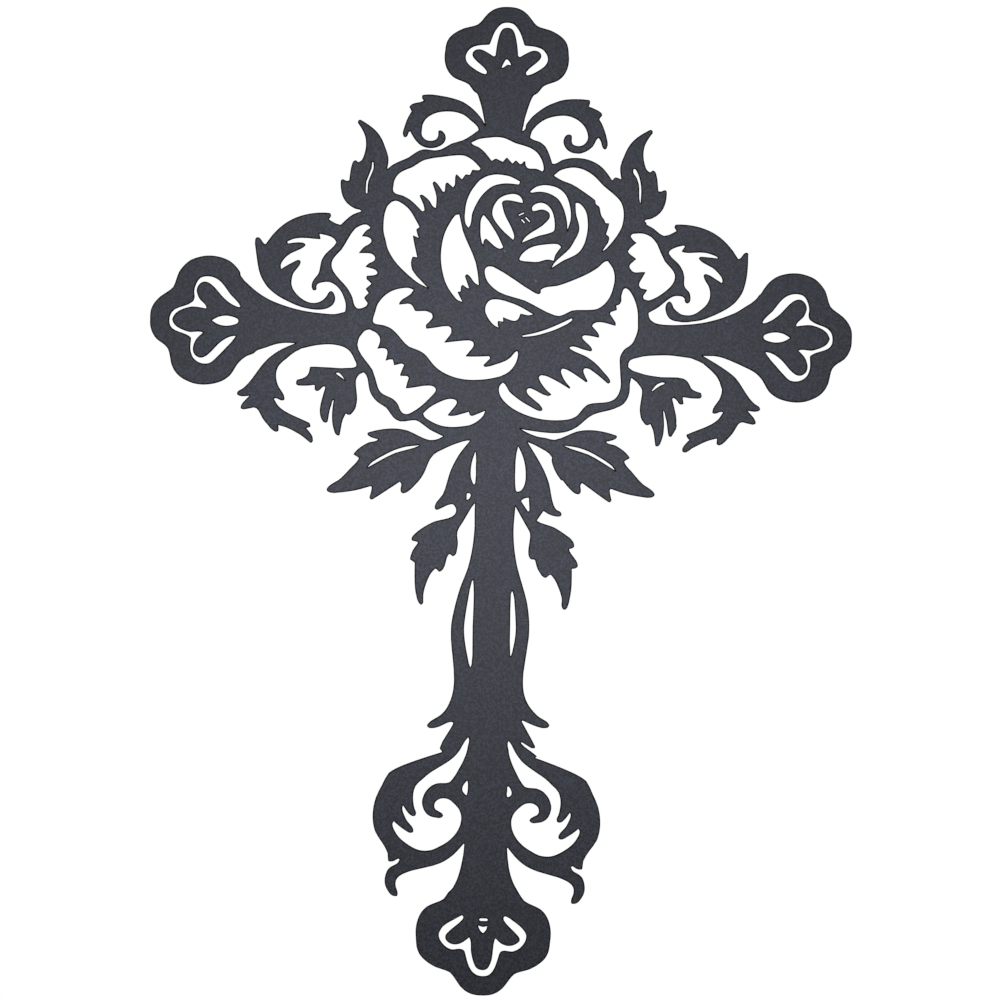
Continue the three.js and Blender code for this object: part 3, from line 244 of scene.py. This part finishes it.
def rounded_sheet(name, sheet):
    """The cut sheet with its edges rounded, as one closed mesh that knows how far each point
    of it lies from an edge."""
    low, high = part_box(sheet.name)
    lines = [coated(line) for line in cut_lines(sheet)]
    lengths = [len(line) for line in lines]
    edge = np.concatenate(lines)
    inward = np.concatenate([inward_of(line) for line in lines])
    edge_tree = tree_of(np.concatenate([walked(line, fine_stride) for line in lines]))
    share = room_share(edge, inward, edge_tree, rim_margin)[:, None]

    # The way from the flat of the front, round the edge, to the flat of the back, as how far
    # in from the edge and how deep each ring of it lies
    turns = [math.pi / 2 * step / round_steps for step in range(round_steps + 1)]
    way = [(rim_margin, low.y)]
    way += [(front_round * (1 - math.sin(turn)), low.y + front_round * (1 - math.cos(turn)))
            for turn in turns]
    way += [(back_round * (1 - math.cos(turn)), high.y - back_round * (1 - math.sin(turn)))
            for turn in turns]
    way += [(rim_margin, high.y)]

    rings = [edge + inward * share * (margin - coat_thickness) for margin, _ in way]
    places, depths = grain_places(low, high, edge, inward, rim_margin + grain_cells / 2)
    vertices = [(x, deep, z) for ring, (_, deep) in zip(rings, way) for x, z in ring]
    vertices += [(x, deep, z) for deep in (low.y, high.y) for x, z in places]
    from_edge = [margin * fits for margin, _ in way for fits in share[:, 0]] + depths * 2

    count = len(edge)
    follows = np.concatenate([
        start + (np.arange(length) + 1) % length
        for start, length in zip(np.cumsum([0, *lengths[:-1]]), lengths)])
    faces = []
    for ring in range(len(way) - 1):
        near, far = ring * count, (ring + 1) * count
        faces += [(far + here, far + ahead, near + ahead, near + here)
                  for here, ahead in enumerate(follows)]
    flats_start = len(way) * count
    for ring, first_place, turned in (
            (0, flats_start, 1), (len(way) - 1, flats_start + len(places), -1)):
        for face in flat_faces(rings[ring], lengths, places):
            faces.append([
                corner + ring * count if corner < count else corner - count + first_place
                for corner in face][::turned])

    mesh = bpy.data.meshes.new(name)
    mesh.from_pydata(vertices, [], faces)
    attribute = mesh.attributes.new("from_edge", "FLOAT", "POINT")
    attribute.data.foreach_set("value", np.array(from_edge, np.float32))
    piece = bpy.data.objects.new(name, mesh)
    bpy.context.scene.collection.objects.link(piece)

    bpy.ops.object.select_all(action="DESELECT")
    bpy.context.view_layer.objects.active = piece
    piece.select_set(True)
    bpy.ops.object.mode_set(mode="EDIT")
    bpy.ops.mesh.select_all(action="SELECT")
    bpy.ops.mesh.normals_make_consistent(inside=False)
    bpy.ops.object.mode_set(mode="OBJECT")
    bpy.ops.object.shade_smooth_by_angle(angle=smooth_below)
    piece.select_set(False)
    return piece


def powder_coat():
    """A fine, slightly mottled coat of dark blue-grey powder, with a few pale specks of dust caught
    in it, and painted shade that makes it near black in a thin rim round every edge."""
    coat = bpy.data.materials.new("powder_coated_steel")
    coat.use_nodes = True
    nodes, links = coat.node_tree.nodes, coat.node_tree.links
    shader = nodes["Principled BSDF"]
    shader.inputs["Metallic"].default_value = 0.0

    place = nodes.new("ShaderNodeTexCoord").outputs["Object"]

    def noise(size, detail, roughness):
        made = nodes.new("ShaderNodeTexNoise")
        made.inputs["Scale"].default_value = 1 / size
        made.inputs["Detail"].default_value = detail
        made.inputs["Roughness"].default_value = roughness
        links.new(place, made.inputs["Vector"])
        return made.outputs["Fac"]

    def ranged(value, low, high, to_low=0, to_high=1):
        made = nodes.new("ShaderNodeMapRange")
        made.interpolation_type = "SMOOTHSTEP"
        for socket, number in zip(
                ("From Min", "From Max", "To Min", "To Max"), (low, high, to_low, to_high)):
            made.inputs[socket].default_value = number
        links.new(value, made.inputs["Value"])
        return made.outputs["Result"]

    def blended(share, first, second):
        made = nodes.new("ShaderNodeMix")
        made.data_type = "RGBA"
        first_colour, second_colour, blend = made.inputs[6], made.inputs[7], made.outputs[2]
        links.new(share, made.inputs["Factor"])
        for socket, colour in ((first_colour, first), (second_colour, second)):
            if isinstance(colour, tuple):
                socket.default_value = (*colour, 1)
            else:
                links.new(colour, socket)
        return blend

    powder_grain = noise(grain_size, detail=2.0, roughness=0.65)
    warm_patches = noise(patch_size, detail=2.0, roughness=0.5)
    coat_clouds = noise(cloud_size, detail=3.0, roughness=0.5)
    pale_grain = blended(ranged(warm_patches, low=0.42, high=0.58), blue_grain, warm_grain)
    grained = blended(ranged(powder_grain, low=0.36, high=0.64), dark_grain, pale_grain)
    clouded = blended(
        ranged(coat_clouds, low=0.35, high=0.65, to_high=0.15), grained, cloud_grey)

    dust = nodes.new("ShaderNodeTexVoronoi")
    dust.inputs["Scale"].default_value = 1 / dust_spacing
    links.new(place, dust.inputs["Vector"])
    dusted = blended(
        ranged(dust.outputs["Distance"], low=0.015, high=0.03, to_low=0.55, to_high=0),
        clouded, dust_grey)

    # Painted shade: near the edge the base colour turns near black and the specular level drops.
    # This stands in for the shade on the rounded edges.
    margin = nodes.new("ShaderNodeAttribute")
    margin.attribute_name = "from_edge"
    on_face = ranged(margin.outputs["Fac"], low=0.0002, high=0.00046)
    links.new(blended(on_face, painted_rim_shade, dusted), shader.inputs["Base Color"])
    gloss = ranged(on_face, low=0, high=1, to_low=0.04, to_high=0.25)
    links.new(gloss, shader.inputs["Specular IOR Level"])
    roughness = ranged(powder_grain, low=0.3, high=0.7, to_low=0.52, to_high=0.66)
    links.new(roughness, shader.inputs["Roughness"])

    bump = nodes.new("ShaderNodeBump")
    bump.inputs["Strength"].default_value = 0.25
    bump.inputs["Distance"].default_value = grain_depth
    links.new(powder_grain, bump.inputs["Height"])
    links.new(bump.outputs["Normal"], shader.inputs["Normal"])
    return coat


cross = rounded_sheet("cut_sheet_cross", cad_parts["cross_sheet"])
cross.data.materials.append(powder_coat())
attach(cross, "root")
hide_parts("cross_sheet")


# The floor: a round of pale matt board, lying level below the foot of the cross. Nothing stands
# on it, because the cross hangs clear of it.
floor_size = 1.2
floor_thickness = 0.01
floor_sides = 96
floor_drop = 0.09
board_colour = (0.8, 0.8, 0.79, 1)
bpy.ops.mesh.primitive_cylinder_add(
    vertices=floor_sides, radius=floor_size / 2, depth=floor_thickness,
    location=(0, 0, cad_low.z - floor_drop))
floor = bpy.context.active_object
floor.name = "floor"
board = bpy.data.materials.new("pale_board")
board.use_nodes = True
board_shader = board.node_tree.nodes["Principled BSDF"]
board_shader.inputs["Base Color"].default_value = board_colour
board_shader.inputs["Roughness"].default_value = 0.9
floor.data.materials.append(board)
floor.select_set(False)


# The light: white all round, far dimmer as a light than it looks to the camera, a lamp whose
# soft-edged beam makes the middle of the cross the brightest, and a soft box in front and one
# behind.
seen_white = (1, 1, 1, 1)
warm_white = (1, 0.95, 0.9, 1)
paper_light = 0.075
paper = bpy.data.worlds.new("white_paper")
bpy.context.scene.world = paper
paper.use_nodes = True
paper_nodes, paper_links = paper.node_tree.nodes, paper.node_tree.links
seen = paper_nodes["Background"]
seen.inputs["Color"].default_value = seen_white
lighting = paper_nodes.new("ShaderNodeBackground")
lighting.inputs["Color"].default_value = warm_white
lighting.inputs["Strength"].default_value = paper_light
ray = paper_nodes.new("ShaderNodeLightPath")
chosen = paper_nodes.new("ShaderNodeMixShader")
paper_links.new(ray.outputs["Is Camera Ray"], chosen.inputs[0])
paper_links.new(lighting.outputs["Background"], chosen.inputs[1])
paper_links.new(seen.outputs["Background"], chosen.inputs[2])
paper_links.new(chosen.outputs[0], paper_nodes["World Output"].inputs["Surface"])


def lamp(name, kind, azimuth, elevation, far, power, aim):
    """A lamp of one kind, so far from the place that it is aimed at, and turned to face it."""
    turn, rise = math.radians(azimuth), math.radians(elevation)
    back = Vector((
        math.sin(turn) * math.cos(rise), -math.cos(turn) * math.cos(rise), math.sin(rise)))
    bpy.ops.object.light_add(type=kind, location=aim + back * far)
    made = bpy.context.active_object
    made.name = name
    made.data.energy = power
    made.rotation_euler = (-back).to_track_quat("-Z", "Y").to_euler()
    made.visible_camera = False
    made.select_set(False)
    return made.data


brightest = Vector((-0.006, 0, -0.092))
beam_far = 2.8
beam_reach = 0.19
beam_power = 262
beam = lamp("middle_lamp", "SPOT", 0, 3, beam_far, beam_power, brightest)
beam.spot_size = 2 * math.atan(beam_reach / beam_far)
beam.spot_blend = 1.0
beam.shadow_soft_size = 0.12

soft_box_far = 4.4
soft_box_size = 1.8
soft_box_colour = (1, 0.96, 0.92)
for name, azimuth, elevation, power in (
        ("soft_box_front", -35, 40, 15), ("soft_box_behind", 150, 35, 120)):
    soft_box = lamp(name, "AREA", azimuth, elevation, soft_box_far, power, brightest)
    soft_box.size = soft_box_size
    soft_box.color = soft_box_colour


# The camera: far off with a long lens, level with the middle of the cross and a touch rolled,
# as the picture was taken.
view_middle_x = 0.001709
view_middle_z = -0.11703
view_width = 0.30386
camera_far = 3.0
camera_roll = 0.0270
bpy.ops.object.camera_add(
    location=(view_middle_x, -camera_far, view_middle_z),
    rotation=(math.pi / 2, -camera_roll, 0))
camera = bpy.context.active_object
camera.name = "camera"
camera.data.sensor_width = 36
camera.data.lens = camera.data.sensor_width * (camera_far + cad_low.y) / view_width
camera.data.clip_end = 30
bpy.context.scene.camera = camera
bpy.context.scene.view_settings.view_transform = "Standard"
